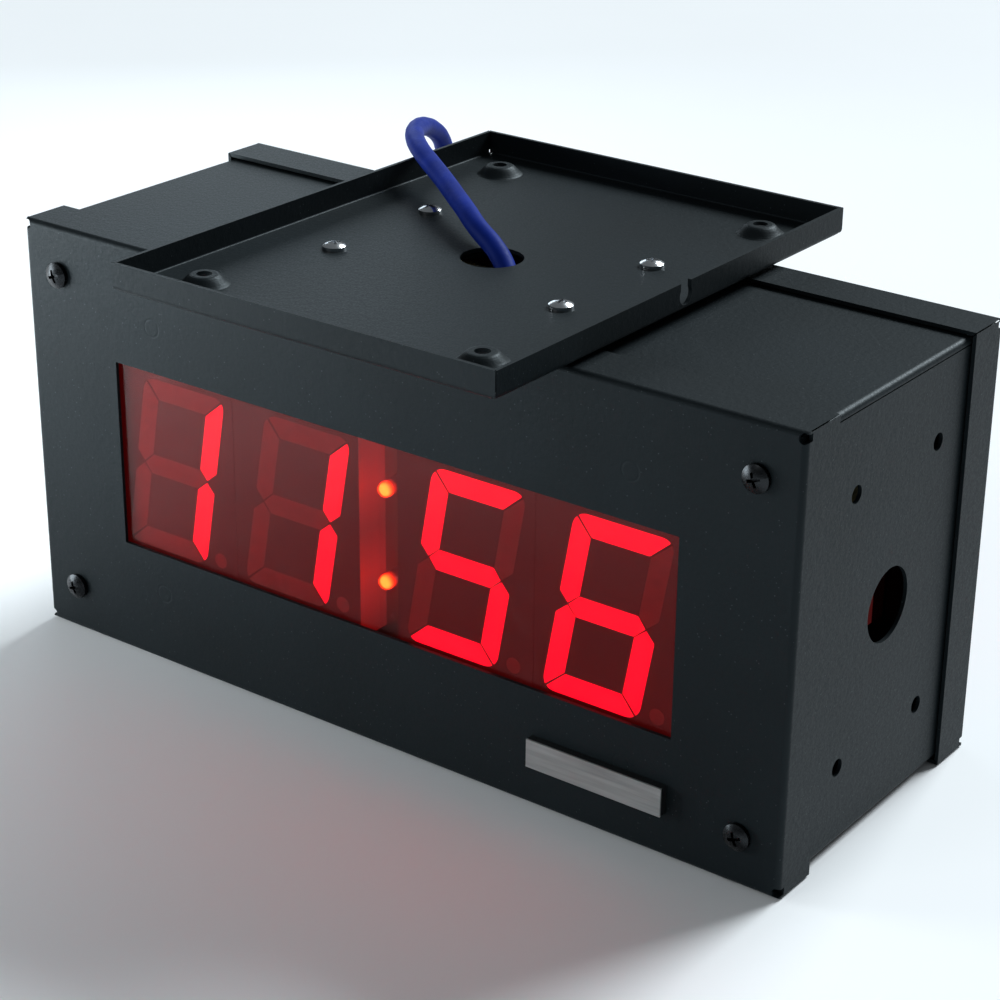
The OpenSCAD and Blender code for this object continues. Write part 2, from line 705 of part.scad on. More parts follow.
rear() lit_segments();  // rear_lit_segments
rear() unlit_segments();  // rear_unlit_segments
rear() colon_leds();  // rear_colon_leds
rear() weld_studs();  // rear_weld_studs
rear() stud_spacers();  // rear_stud_spacers
rear() stud_nuts();  // rear_stud_nuts
rear() bezel_screws();  // rear_bezel_screws
rear() board_header();  // rear_board_header
rear() driver_chips();  // rear_driver_chips
rear() badge();  // rear_badge
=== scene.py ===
"""Looks for the double-sided LED clock: camera, cable, materials, small parts, light and floor."""
import math

import bmesh
import bpy
from mathutils import Matrix, Vector


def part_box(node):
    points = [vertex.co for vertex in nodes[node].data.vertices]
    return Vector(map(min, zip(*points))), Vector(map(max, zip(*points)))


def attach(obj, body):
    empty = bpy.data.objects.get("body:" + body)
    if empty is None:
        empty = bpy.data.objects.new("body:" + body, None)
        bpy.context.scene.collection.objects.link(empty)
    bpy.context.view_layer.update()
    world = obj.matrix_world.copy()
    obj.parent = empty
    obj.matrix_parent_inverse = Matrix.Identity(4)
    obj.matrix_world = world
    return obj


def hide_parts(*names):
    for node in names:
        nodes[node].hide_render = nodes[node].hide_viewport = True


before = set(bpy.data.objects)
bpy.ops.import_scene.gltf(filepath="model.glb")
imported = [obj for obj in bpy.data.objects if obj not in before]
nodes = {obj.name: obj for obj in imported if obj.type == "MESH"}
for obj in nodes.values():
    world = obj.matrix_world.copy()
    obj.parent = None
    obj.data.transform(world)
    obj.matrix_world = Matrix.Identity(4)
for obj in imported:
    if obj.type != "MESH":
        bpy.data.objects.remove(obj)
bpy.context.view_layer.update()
scene = bpy.context.scene
MM = 0.001


# ---- Camera ----

def add_camera():
    data = bpy.data.cameras.new("camera")
    data.lens = 89.7
    data.sensor_width = 36
    data.shift_x = -0.0613
    data.shift_y = -0.0127
    data.clip_start = 0.01
    camera = bpy.data.objects.new("camera", data)
    scene.collection.objects.link(camera)
    azimuth, elevation, roll = (math.radians(a) for a in (35.2, 23.83, 1.18))
    camera.matrix_world = (Matrix.Translation((0.4235, -0.5623, 0.3776)) @ Matrix.Rotation(azimuth, 4, "Z")
                           @ Matrix.Rotation(math.pi / 2 - elevation, 4, "X") @ Matrix.Rotation(roll, 4, "Z"))
    scene.camera = camera


add_camera()


# ---- Materials ----

class Nodes:
    """A material's node tree, with short calls for the nodes that the materials below share."""

    def __init__(self, name):
        self.material = bpy.data.materials.new(name)
        self.material.use_nodes = True
        self.tree = self.material.node_tree
        self.tree.nodes.clear()
        self.output = self.add("ShaderNodeOutputMaterial")
        self.place = self.add("ShaderNodeTexCoord").outputs["Object"]

    def add(self, kind, settings=None, **sockets):
        node = self.tree.nodes.new(kind)
        for key, value in (settings or {}).items():
            setattr(node, key, value)
        for key, value in sockets.items():
            self.put(node.inputs[int(key[1:])] if key[0] == "i" and key[1:].isdigit() else
                     node.inputs[key.replace("_", " ")], value)
        return node

    def put(self, socket, value):
        if isinstance(value, bpy.types.NodeSocket):
            self.tree.links.new(value, socket)
        else:
            socket.default_value = value

    def math(self, operation, a, b=0.0, c=0.0):
        return self.add("ShaderNodeMath", {"operation": operation}, i0=a, i1=b, i2=c).outputs[0]

    def noise(self, size, detail=2.0, stretch=(1, 1, 1), rough=0.5):
        """Noise whose features are about size metres across."""
        mapped = self.add("ShaderNodeMapping", Vector=self.place, Scale=stretch).outputs[0]
        return self.add("ShaderNodeTexNoise", Vector=mapped, Scale=1 / size, Detail=detail,
                        Roughness=rough).outputs[0]

    def cells(self, size):
        return self.add("ShaderNodeTexVoronoi", {"feature": "F1"}, Vector=self.place, Scale=1 / size)

    def ramp(self, value, low, high, out_low=0.0, out_high=1.0):
        return self.add("ShaderNodeMapRange", Value=value, From_Min=low, From_Max=high, To_Min=out_low,
                        To_Max=out_high).outputs[0]

    def mix(self, factor, a, b):
        node = self.add("ShaderNodeMix", {"data_type": "RGBA"})
        self.put(node.inputs["Factor"], factor)
        self.put(node.inputs["A"], a)
        self.put(node.inputs["B"], b)
        return node.outputs["Result"]

    def axis(self, letter):
        return self.add("ShaderNodeSeparateXYZ", Vector=self.place).outputs[letter]

    def bump(self, height, distance, strength=1.0):
        return self.add("ShaderNodeBump", Height=height, Distance=distance, Strength=strength).outputs[0]

    def finish(self, **sockets):
        shader = self.add("ShaderNodeBsdfPrincipled", **sockets)
        self.tree.links.new(shader.outputs[0], self.output.inputs[0])
        return self.material


def rgb(red, green, blue):
    """A colour given as it looks on a screen, 0 to 255, in the linear values that shaders take."""
    linear = [(c / 255 / 12.92) if c <= 10 else ((c / 255 + 0.055) / 1.055) ** 2.4
              for c in (red, green, blue)]
    return (*linear, 1.0)


def darker(colour, share):
    return (*(c * share for c in colour[:3]), 1)


def powder_coat(name, marks=()):
    """Charcoal powder coat: orange peel, fine grain, a few pale flecks, and faint rings over the studs."""
    n = Nodes(name)
    grain = n.noise(0.0006, 3)
    peel = n.noise(0.0019, 2)
    patches = n.noise(0.05, 3)
    flecks = n.ramp(n.cells(0.0022).outputs["Distance"], 0.1, 0.05)
    colour = n.mix(n.ramp(patches, 0.3, 0.7), rgb(18, 23, 25), rgb(22, 28, 31))
    colour = n.mix(n.math("MULTIPLY", flecks, 0.3), colour, rgb(104, 112, 116))
    height = n.math("MULTIPLY_ADD", grain, 0.35, peel)
    for x, z, radius in marks:
        dx = n.math("SUBTRACT", n.axis("X"), x)
        dz = n.math("SUBTRACT", n.axis("Z"), z)
        reach = n.math("SQRT", n.math("ADD", n.math("MULTIPLY", dx, dx), n.math("MULTIPLY", dz, dz)))
        ring = n.ramp(n.math("ABSOLUTE", n.math("SUBTRACT", reach, radius)), 0.0005, 0.0, 0, 0.7)
        height = n.math("SUBTRACT", height, ring)
    return n.finish(Base_Color=colour, Roughness=n.ramp(grain, 0.3, 0.7, 0.42, 0.56), Specular_IOR_Level=0.16,
                    Specular_Tint=(0.76, 0.92, 1, 1), Normal=n.bump(height, 0.00008, 1.0))


def metal(name, colour, low, high, size=0.0006):
    """Bare or plated metal whose roughness runs from low to high, with grain of the given size."""
    n = Nodes(name)
    streaks = n.noise(size, 4)
    stains = n.noise(size * 12, 2)
    shade = n.mix(n.ramp(stains, 0.35, 0.65), colour, darker(colour, 0.8))
    return n.finish(Base_Color=shade, Metallic=1.0, Roughness=n.ramp(streaks, 0.3, 0.7, low, high),
                    Normal=n.bump(streaks, 0.00002, 0.5))


def plastic(name, colour, low=0.4, high=0.55):
    """Moulded plastic whose roughness runs from low to high."""
    n = Nodes(name)
    grain = n.noise(0.0005, 3)
    shade = n.mix(n.ramp(n.noise(0.012, 2), 0.3, 0.7), colour, darker(colour, 0.82))
    return n.finish(Base_Color=shade, Roughness=n.ramp(grain, 0.3, 0.7, low, high),
                    Normal=n.bump(grain, 0.00002))


def circuit_board(name, mask, track_colour):
    """Solder mask with slightly raised tracks and tinned pads."""
    n = Nodes(name)
    tracks = n.add("ShaderNodeTexVoronoi", {"distance": "MANHATTAN", "feature": "F1"}, Vector=n.place,
                   Scale=160)
    track = n.ramp(n.math("PINGPONG", tracks.outputs["Distance"], 0.12), 0.045, 0.06)
    pads = n.ramp(n.cells(0.0042).outputs["Distance"], 0.17, 0.15)
    colour = n.mix(track, track_colour, mask)
    colour = n.mix(pads, colour, rgb(190, 188, 176))
    return n.finish(Base_Color=colour, Metallic=pads, Roughness=n.ramp(pads, 0, 1, 0.32, 0.3),
                    Normal=n.bump(track, 0.00003, 0.6))


def cable_jacket():
    """Blue PVC with the slight lengthwise lumps of the twisted pairs inside."""
    n = Nodes("cable_jacket")
    lumps = n.noise(0.009, 2)
    skin = n.noise(0.0009, 3)
    colour = n.mix(n.ramp(lumps, 0.3, 0.7), rgb(12, 34, 118), rgb(16, 42, 138))
    height = n.math("MULTIPLY_ADD", lumps, 1.0, n.math("MULTIPLY", skin, 0.08))
    return n.finish(Base_Color=colour, Roughness=n.ramp(skin, 0.3, 0.7, 0.5, 0.6), Specular_IOR_Level=0.1,
                    Specular_Tint=(0.4, 0.6, 1, 1), Normal=n.bump(height, 0.0005, 0.6))


def red_filter():
    """Smoky red acrylic: see-through, with a part of the light spread by its matt skin, and a dull gloss."""
    n = Nodes("red_filter")
    smudge = n.noise(0.03, 4)
    tint = n.mix(n.ramp(smudge, 0.3, 0.7), (0.8, 0.3, 0.31, 1), (0.79, 0.29, 0.3, 1))
    clear = n.add("ShaderNodeBsdfTransparent", Color=tint)
    spread = n.add("ShaderNodeBsdfRefraction", Color=tint, Roughness=0.3, IOR=1.15)
    inside = n.add("ShaderNodeMixShader", i0=0.16, i1=clear.outputs[0], i2=spread.outputs[0])
    gloss = n.add("ShaderNodeBsdfGlossy", Color=(0.6, 0.6, 0.6, 1),
                  Roughness=n.ramp(smudge, 0.3, 0.7, 0.2, 0.28))
    facing = n.add("ShaderNodeLayerWeight", Blend=0.5).outputs["Facing"]
    mirror = n.math("MULTIPLY_ADD", n.math("POWER", facing, 5.0), 0.9, 0.04)
    both = n.add("ShaderNodeMixShader", i0=mirror, i1=inside.outputs[0], i2=gloss.outputs[0])
    n.tree.links.new(both.outputs[0], n.output.inputs[0])
    return n.material


def light_bar(name, colour, strength, body):
    """A digit's light bar, lit, or milky when its strength is 0."""
    n = Nodes(name)
    mottle = n.noise(0.0025, 2)
    shade = n.mix(n.ramp(mottle, 0.3, 0.7), body, darker(body, 0.85))
    return n.finish(Base_Color=shade, Roughness=n.ramp(mottle, 0.3, 0.7, 0.35, 0.45), Emission_Color=colour,
                    Emission_Strength=strength)


def colon_lamp():
    """A domed LED whose tip is yellow-hot and whose body only glows."""
    n = Nodes("colon_lamp")
    tip = max(abs(c.y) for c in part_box("front_colon_leds"))
    core = n.ramp(n.math("ABSOLUTE", n.axis("Y")), tip - 0.0022, tip - 0.0006)
    glow = n.mix(core, (1, 0.01, 0.01, 1), (1, 0.3, 0.03, 1))
    return n.finish(Base_Color=n.mix(core, rgb(60, 10, 10), rgb(220, 90, 40)), Roughness=0.25,
                    Emission_Color=glow, Emission_Strength=n.ramp(core, 0, 1, 0.12, 22.0))


def display_body():
    """Grey epoxy face with a faint painted red glow all over; a stronger painted glow on the walls beside the
    colon stands in for the light of its LEDs.
    """
    n = Nodes("display_body")
    grain = n.noise(0.0005, 3)
    colour = n.mix(n.ramp(n.noise(0.02, 2), 0.3, 0.7), rgb(108, 104, 104), rgb(98, 94, 94))
    normal = n.add("ShaderNodeTexCoord").outputs["Normal"]
    facing_gap = n.math("ABSOLUTE", n.add("ShaderNodeSeparateXYZ", Vector=normal).outputs["X"])
    beside_gap = n.ramp(n.math("ABSOLUTE", n.axis("X")), 0.0115, 0.0095)
    low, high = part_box("front_colon_leds")
    from_middle = n.math("ABSOLUTE", n.math("SUBTRACT", n.axis("Z"), (low.z + high.z) / 2))
    from_lamp = n.math("ABSOLUTE", n.math("SUBTRACT", from_middle, (high.z - low.z) / 2 - 0.003))
    near = n.ramp(from_lamp, 0.02, 0.0, 0.25, 1.0)
    # Painted glow: red emission on the walls facing across the colon gap, fading with distance from its LEDs,
    # in place of their light
    glow = n.math("MULTIPLY", n.math("MULTIPLY", facing_gap, beside_gap), near)
    # Emission adds the painted glow beside the colon and a faint painted red glow over the whole body
    return n.finish(Base_Color=colour, Roughness=n.ramp(grain, 0.3, 0.7, 0.45, 0.6),
                    Emission_Color=(1, 0.1, 0.1, 1),
                    Emission_Strength=n.math("MULTIPLY_ADD", glow, 0.5, 0.05), Normal=n.bump(grain, 0.00002))


def name_plate():
    """Pale brushed face on a black body."""
    n = Nodes("name_plate")
    low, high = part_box("front_badge")
    face = n.ramp(n.math("ABSOLUTE", n.axis("Y")), -low.y - 0.0006, -low.y - 0.0005)
    brush = n.noise(0.0012, 4, (0.05, 1, 1))
    brushed = n.mix(n.ramp(brush, 0.3, 0.7), rgb(150, 154, 153), rgb(176, 179, 178))
    colour = n.mix(face, rgb(18, 20, 21), brushed)
    return n.finish(Base_Color=colour, Metallic=n.math("MULTIPLY", face, 0.6),
                    Roughness=n.ramp(brush, 0.3, 0.7, 0.34, 0.5), Normal=n.bump(brush, 0.00002, 0.5))


def ribbon():
    """Grey flat cable: a groove between every two wires and one red edge."""
    n = Nodes("ribbon")
    wires = n.math("SINE", n.math("MULTIPLY", n.axis("X"), 2 * math.pi / 0.00127))
    edge = n.ramp(n.axis("X"), -0.0052, -0.0051, 1, 0)
    colour = n.mix(edge, rgb(150, 154, 158), rgb(150, 30, 34))
    return n.finish(Base_Color=colour, Roughness=n.ramp(n.noise(0.001), 0.3, 0.7, 0.4, 0.5),
                    Normal=n.bump(wires, 0.0003, 0.8))


def plug_plastic():
    """Clear moulded plug body with a little haze."""
    n = Nodes("plug_plastic")
    haze = n.noise(0.004, 2)
    colour = n.mix(n.ramp(haze, 0.3, 0.7), rgb(196, 206, 212), rgb(176, 188, 196))
    return n.finish(Base_Color=colour, Roughness=n.ramp(haze, 0.3, 0.7, 0.12, 0.2), Transmission_Weight=0.35,
                    Normal=n.bump(haze, 0.0001, 0.4))


def woven_strap():
    """Dull black woven tape with a little sheen."""
    n = Nodes("woven_strap")
    loops = n.cells(0.0009)
    colour = n.mix(loops.outputs["Distance"], rgb(16, 16, 18), rgb(38, 38, 42))
    return n.finish(Base_Color=colour, Roughness=0.9, Sheen_Weight=0.4,
                    Normal=n.bump(loops.outputs["Distance"], 0.0003, 0.9))


def floor_finish():
    """White paper that is very slightly uneven."""
    n = Nodes("floor_finish")
    colour = n.mix(n.ramp(n.noise(0.3, 3), 0.3, 0.7), rgb(250, 250, 251), rgb(247, 247, 248))
    return n.finish(Base_Color=colour, Roughness=0.6, Specular_IOR_Level=0.2)


STUD_X, STUD_DZ, MID_Z, MARK_R = 0.0878, 0.0448, 0.06925, 0.0028
stud_marks = [(i * STUD_X, MID_Z + j * STUD_DZ, MARK_R) for i in (-1, 1) for j in (-1, 1)]
coat = powder_coat("powder_coat")
bezel_coat = powder_coat("powder_coat_bezel", stud_marks)
zinc = metal("zinc", rgb(196, 198, 200), 0.28, 0.42)
nickel = metal("nickel", rgb(225, 227, 230), 0.14, 0.24, 0.0004)
black_screw = metal("black_screw", rgb(46, 48, 50), 0.24, 0.34, 0.0005)
board = circuit_board("controller_board", rgb(16, 58, 36), rgb(22, 74, 46))
pale_board = circuit_board("display_board", rgb(150, 140, 100), rgb(166, 154, 112))
gold = metal("gold_contact", rgb(226, 178, 84), 0.2, 0.3, 0.0003)
tin = metal("tin", rgb(200, 202, 204), 0.2, 0.34, 0.0003)
boot = plastic("blue_boot", rgb(20, 52, 130), 0.4, 0.5)
black_part = plastic("black_part", rgb(24, 24, 26))
jacket = cable_jacket()
lit = light_bar("lit_bar", (1.0, 0.0, 0.06, 1), 4.0, rgb(150, 20, 30))
unlit = light_bar("unlit_bar", (1, 0, 0, 1), 0.0, rgb(205, 190, 188))
colon = colon_lamp()

finishes = {
    "housing_base": coat, "housing_top": coat, "mounting_tray": coat,
    "bezel_nuts": zinc, "tray_spacers": zinc, "tray_nuts": zinc, "tray_screws": nickel,
    "controller_board": board, "board_standoffs": zinc, "board_screws": nickel,
    "network_jack": metal("jack_shield", rgb(200, 202, 204), 0.3, 0.4),
    "power_transformer": plastic("ferrite", rgb(52, 48, 42)),
    "capacitors": plastic("sleeve", rgb(28, 44, 92), 0.25, 0.35),
    "controller_chips": black_part, "controller_headers": black_part,
    "ribbon_cables": ribbon(), "ribbon_sockets": black_part,
    "bezel": bezel_coat, "lens": red_filter(),
    "lens_gasket": plastic("foam_tape", rgb(20, 20, 20), 0.8, 0.95),
    "display_board": pale_board, "digits": display_body(),
    "lit_segments": lit, "unlit_segments": unlit, "colon_leds": colon,
    "weld_studs": zinc, "stud_spacers": zinc, "stud_nuts": zinc, "bezel_screws": black_screw,
    "board_header": black_part, "driver_chips": black_part, "badge": name_plate(),
}
for name, node in nodes.items():
    finish = finishes.get(name) or finishes.get(name.split("_", 1)[1])
    if finish:
        node.data.materials.clear()
        node.data.materials.append(finish)


# ---- Network cable, in millimetres: the free lead with its coil, and the stretch inside ----

CABLE_D = 6.4
LEAD_R = CABLE_D / 2 - 0.02                      # drawn radius, a little under half the diameter
ROUTE = [
    (8.5, -2.5, 136), (3.5, 0.5, 140.5), (-2, 3, 143.5), (-8, 5.5, 145.5), (-14, 9, 147),
    (-19.5, 13, 148), (-29.5, 20.5, 149), (-39.5, 28, 150), (-50, 35.5, 151), (-60.5, 43, 152),
    (-69.5, 51, 152), (-75, 57, 151.5), (-80.5, 64, 151), (-85, 72, 150), (-87.5, 78, 148.5),
    (-89.5, 85, 145.5), (-91, 91, 141), (-92.5, 95, 135.5), (-93.5, 97.5, 128.5), (-94, 98.5, 120.5),
    (-94, 98, 106), (-94, 97, 91.5), (-94, 97, 77.5), (-94, 97, 63), (-93.5, 97, 49),
    (-92.5, 97.5, 41), (-91, 98.5, 34.5), (-87.5, 100.5, 27), (-82.5, 103, 21.5), (-76.5, 106, 17.5),
    (-70.5, 109, 16),
]
TAIL = [
    (-105, 108.5, 3.2), (-97.5, 105, 3.2), (-90, 102, 3.2), (-83, 99, 3.3), (-76.5, 97, 3.5),
    (-70, 96.3, 3.8), (-62, 96.3, 4), (-54, 96.3, 4),
]
INNER_ROUTE = [
    (66, 0, 18.5), (79.5, 0, 19), (87.5, 0, 21), (94, 0, 24), (100.5, 0, 29), (105.5, -0.5, 35.5),
    (108.5, -0.5, 43), (109.5, -0.5, 50), (109, -0.5, 58), (106.5, -1, 66), (102.5, -1.5, 73),
    (97, -2.5, 80), (87.5, -4, 89), (76.5, -5.5, 97), (63.5, -6.5, 104.5), (51, -7.5, 111),
    (38, -8.5, 117.5), (25.5, -8, 124), (19.5, -7, 127.5), (14, -5, 131.5), (8.5, -2.5, 136),
]
COIL = (-88, 146.5)
RINGS = (41.6, 35.2, 28.8)
LAYERS = (16, 9.6, 3.2)
# Order in which the turns fill the coil's three rings and three layers, as (ring, layer)
TURNS = [(0, 0), (1, 0), (2, 0), (2, 1), (2, 2), (1, 2), (1, 1), (0, 1), (0, 2)]
# Angles in degrees: where the cable lands on the coil and leaves it, and where each turn shifts and how long
LANDING, LEAVING, SHIFT, SHIFT_LENGTH = 295, 246, 262, 28


def ease(share):
    """Smooth step from 0 to 1."""
    return share * share * (3 - 2 * share)


def coil_points(step=12):
    """The coil's centreline, a point every step degrees; each turn shifts to its place within a short arc."""
    end = LEAVING + 360 * len(TURNS)
    count = round((end - LANDING) / step)
    points = []
    for k in range(1, count):
        angle = LANDING + (end - LANDING) * k / count
        turn = int((angle - SHIFT) // 360)
        part = ease(min(1, (angle - SHIFT - 360 * turn) / SHIFT_LENGTH))
        now, before = TURNS[turn], TURNS[max(turn - 1, 0)]
        radius = RINGS[before[0]] + (RINGS[now[0]] - RINGS[before[0]]) * part
        height = LAYERS[before[1]] + (LAYERS[now[1]] - LAYERS[before[1]]) * part
        turned = math.radians(angle)
        points.append((COIL[0] + radius * math.cos(turned), COIL[1] + radius * math.sin(turned), height))
    return points


def curve_piece(name, points, radius, material, body):
    data = bpy.data.curves.new(name, "CURVE")
    data.dimensions = "3D"
    data.bevel_depth = radius
    data.bevel_resolution = 6
    data.resolution_u = 6
    data.use_fill_caps = True
    spline = data.splines.new("BEZIER")
    spline.bezier_points.add(len(points) - 1)
    for knot, point in zip(spline.bezier_points, points):
        knot.co = Vector(point) * MM
        knot.handle_left_type = knot.handle_right_type = "AUTO"
    data.materials.append(material)
    piece = bpy.data.objects.new(name, data)
    scene.collection.objects.link(piece)
    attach(piece, body)
    return piece


lead_path = ROUTE + coil_points() + TAIL
lead = curve_piece("network_lead", lead_path, LEAD_R * MM, jacket, "housing")
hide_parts("network_cable", "cable_coil", "cable_tail")

inner_lead = curve_piece("network_lead_inside", INNER_ROUTE, LEAD_R * MM, jacket, "housing")
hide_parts("inner_lead")


# ---- Small pieces built as meshes ----

class Workpiece:
    """Gathers bevelled blocks and turned shapes, in millimetres, into one piece."""

    def __init__(self):
        self.points, self.faces, self.slots = [], [], []

    def take(self, shape, slot, matrix):
        start = len(self.points)
        shape.verts.ensure_lookup_table()
        shape.verts.index_update()
        self.points += [matrix @ v.co for v in shape.verts]
        self.faces += [[start + v.index for v in face.verts] for face in shape.faces]
        self.slots += [slot] * len(shape.faces)
        shape.free()

    def block(self, low, high, bevel=0.1, slot=0, matrix=Matrix()):
        """A box with rounded edges between two corners."""
        low, high = Vector(low), Vector(high)
        shape = bmesh.new()
        bmesh.ops.create_cube(shape, size=1, matrix=Matrix.Translation((low + high) / 2)
                              @ Matrix.Diagonal((*(high - low), 1)))
        bmesh.ops.bevel(shape, geom=shape.edges[:], offset=bevel, segments=2, profile=0.5, affect="EDGES")
        self.take(shape, slot, matrix)

    def turned(self, profile, matrix, sides=16, slot=0):
        """A shape turned about its own Z axis from (radius, height) points, closed at both ends."""
        shape = bmesh.new()
        rings = [[shape.verts.new((r * math.cos(a), r * math.sin(a), z)) for a in
                  (2 * math.pi * k / sides for k in range(sides))] for r, z in profile]
        for below, above in zip(rings, rings[1:]):
            for k in range(sides):
                shape.faces.new((below[k], below[(k + 1) % sides], above[(k + 1) % sides], above[k]))
        shape.faces.new(rings[0][::-1])
        shape.faces.new(rings[-1])
        self.take(shape, slot, matrix)

    def swept(self, outline, matrices, slot=0):
        """A closed outline carried through a row of placements, capped at both ends."""
        shape = bmesh.new()
        rows = [[shape.verts.new(m @ Vector(p)) for p in outline] for m in matrices]
        count = len(outline)
        for before, after in zip(rows, rows[1:]):
            for k in range(count):
                shape.faces.new((before[k], before[(k + 1) % count], after[(k + 1) % count], after[k]))
        shape.faces.new(rows[0][::-1])
        shape.faces.new(rows[-1])
        self.take(shape, slot, Matrix())

    def join(self, other, matrix):
        """Adds another workpiece, placed by a matrix."""
        start = len(self.points)
        self.points += [matrix @ p for p in other.points]
        self.faces += [[start + i for i in face] for face in other.faces]
        self.slots += other.slots

    def piece(self, name, materials, body, matrix=Matrix()):
        mesh = bpy.data.meshes.new(name)
        mesh.from_pydata([matrix @ p * MM for p in self.points], [], self.faces)
        for material in materials:
            mesh.materials.append(material)
        mesh.polygons.foreach_set("material_index", self.slots)
        mesh.set_sharp_from_angle(angle=math.radians(35))
        made = bpy.data.objects.new(name, mesh)
        scene.collection.objects.link(made)
        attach(made, body)
        return made


def add_plug(name, node, matrix):
    """Modular plug: clear body, eight gold blades in slots, sprung latch and a ribbed boot."""
    length, width, height, blades, pitch = 21.5, 11.6, 8.0, 8, 1.02
    work = Workpiece()
    work.block((0, -width / 2, -height / 2 + 2.4), (length, width / 2, height / 2 - 0.2), 0.35)
    work.block((6.4, -width / 2, -height / 2), (length, width / 2, -height / 2 + 2.6), 0.35)
    for k in range(blades + 1):
        y = (k - blades / 2) * pitch
        half = 0.24 if 0 < k < blades else 0.9
        shift = 0 if 0 < k < blades else math.copysign(0.66, y)
        work.block((0.1, y - half + shift, -height / 2), (6.6, y + half + shift, -height / 2 + 2.6), 0.08)
    for k in range(blades):
        y = (k - (blades - 1) / 2) * pitch
        work.block((0.7, y - 0.16, -height / 2 + 0.5), (6.2, y + 0.16, -height / 2 + 3), 0.05, slot=1)
    latch = Matrix.Translation((1.6, 0, height / 2 - 0.25)) @ Matrix.Rotation(math.radians(-5), 4, "Y")
    work.block((0, -3.1, 0), (6.5, 3.1, 0.9), 0.2, matrix=latch)
    work.block((6.2, -1.6, 0.05), (15, 1.6, 0.85), 0.2, matrix=latch)
    work.block((4.8, -3.1, 0.6), (6.6, 3.1, 1.5), 0.25, matrix=latch)
    ribs = [(3.95, 0), (3.95, 1.5)]
    rib_count, first_rib, rib_pitch = 5, 1.8, 2.3
    for k in range(rib_count):
        start = first_rib + k * rib_pitch
        ribs += [(3.35, start), (3.35, start + 0.9), (3.85, start + 1.15), (3.85, start + 2)]
    ribs += [(3.5, 13.6), (3.25, 14)]
    work.turned(ribs, Matrix.Translation((length, 0, 0)) @ Matrix.Rotation(math.pi / 2, 4, "Y"), 32, slot=2)
    made = work.piece(name, [clear_plug, gold, boot], "housing", matrix)
    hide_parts(node)
    return made


def add_strap():
    """Hook-and-loop strap: once round the turns and over its own start, ending in a loose tab."""
    inner, outer, top = RINGS[-1] - CABLE_D / 2, RINGS[0] + CABLE_D / 2, LAYERS[0] + CABLE_D / 2
    middle, half_wide, half_high = (inner + outer) / 2, (outer - inner) / 2, top / 2
    around = Matrix.Translation((*COIL, 0)) @ Matrix.Rotation(math.radians(200), 4, "Z")
    power, steps, turns = 0.42, 56, 1.22
    start_angle, lap_start, gap, thickness = -0.35, 0.86, 0.1, 0.85
    path = []
    for k in range(round(steps * turns)):
        angle = 2 * math.pi * k / steps + start_angle
        lap = min(1, max(0, (k / steps - lap_start) / (1 - lap_start)))
        grow = gap + thickness * ease(lap)
        across = math.copysign(abs(math.cos(angle)) ** power, math.cos(angle))
        up = math.copysign(abs(math.sin(angle)) ** power, math.sin(angle))
        height = max(0.1, half_high + (half_high + grow) * up)
        path.append(Vector((middle + (half_wide + grow) * across, 0, height)))
    rows = []
    for k, point in enumerate(path):
        along = (path[min(k + 1, len(path) - 1)] - path[max(k - 1, 0)]).normalized()
        outward = Vector((along.z, 0, -along.x))
        sway = 0.25 * math.sin(k * 0.8)
        turn = Matrix((outward, (0, 1, 0), along)).transposed().to_4x4()
        rows.append(around @ Matrix.Translation(point + Vector((0, sway, 0))) @ turn)
    edge = [(-0.05, -5.6), (0.7, -5.6), (0.8, -5.3), (0.85, 0), (0.8, 5.3), (0.7, 5.6), (-0.05, 5.6),
            (-0.1, 0)]
    work = Workpiece()
    work.swept([(x, y, 0) for x, y in edge], rows)
    strap = work.piece("cable_strap", [woven_strap()], "housing")
    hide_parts("coil_tie")
    return strap


def gull_legs(work, low, high, base, per_side, slot, sides):
    """Bent legs along the sides of a chip that lies between two corners on a board at height base."""
    (x0, y0), (x1, y1) = low, high
    half_wide, under_chip, out, lift, top = 0.2, 0.1, 1.1, 0.02, 0.2
    for k in range(per_side):
        part = (k + 0.7) / (per_side + 0.4)
        x, y = x0 + (x1 - x0) * part, y0 + (y1 - y0) * part
        for side, edges in (("x", (x0, x1)), ("y", (y0, y1))):
            if side not in sides:
                continue
            for edge, way in zip(edges, (-1, 1)):
                foot = sorted((edge - way * under_chip, edge + way * out))
                if side == "x":
                    near, far = (foot[0], y - half_wide), (foot[1], y + half_wide)
                else:
                    near, far = (x - half_wide, foot[0]), (x + half_wide, foot[1])
                work.block((*near, base + lift), (*far, base + top), 0.05, slot)


def chip_part(work, x, y, base, long_x):
    """A small resistor or capacitor with tinned ends."""
    long_side, short_side, tall, cap, lip, bevel = 2.0, 1.2, 0.55, 0.35, 0.03, 0.06
    a, b = (long_side, short_side) if long_x else (short_side, long_side)
    work.block((x - a / 2, y - b / 2, base), (x + a / 2, y + b / 2, base + tall), bevel, slot=0)
    for way in (-1, 1):
        if long_x:
            ends = sorted((x + way * (a / 2 + lip), x + way * (a / 2 - cap)))
            near, far = (ends[0], y - b / 2 - lip), (ends[1], y + b / 2 + lip)
        else:
            ends = sorted((y + way * (b / 2 + lip), y + way * (b / 2 - cap)))
            near, far = (x - a / 2 - lip, ends[0]), (x + a / 2 + lip, ends[1])
        work.block((*near, base - 0.02), (*far, base + tall + lip), bevel, slot=1)


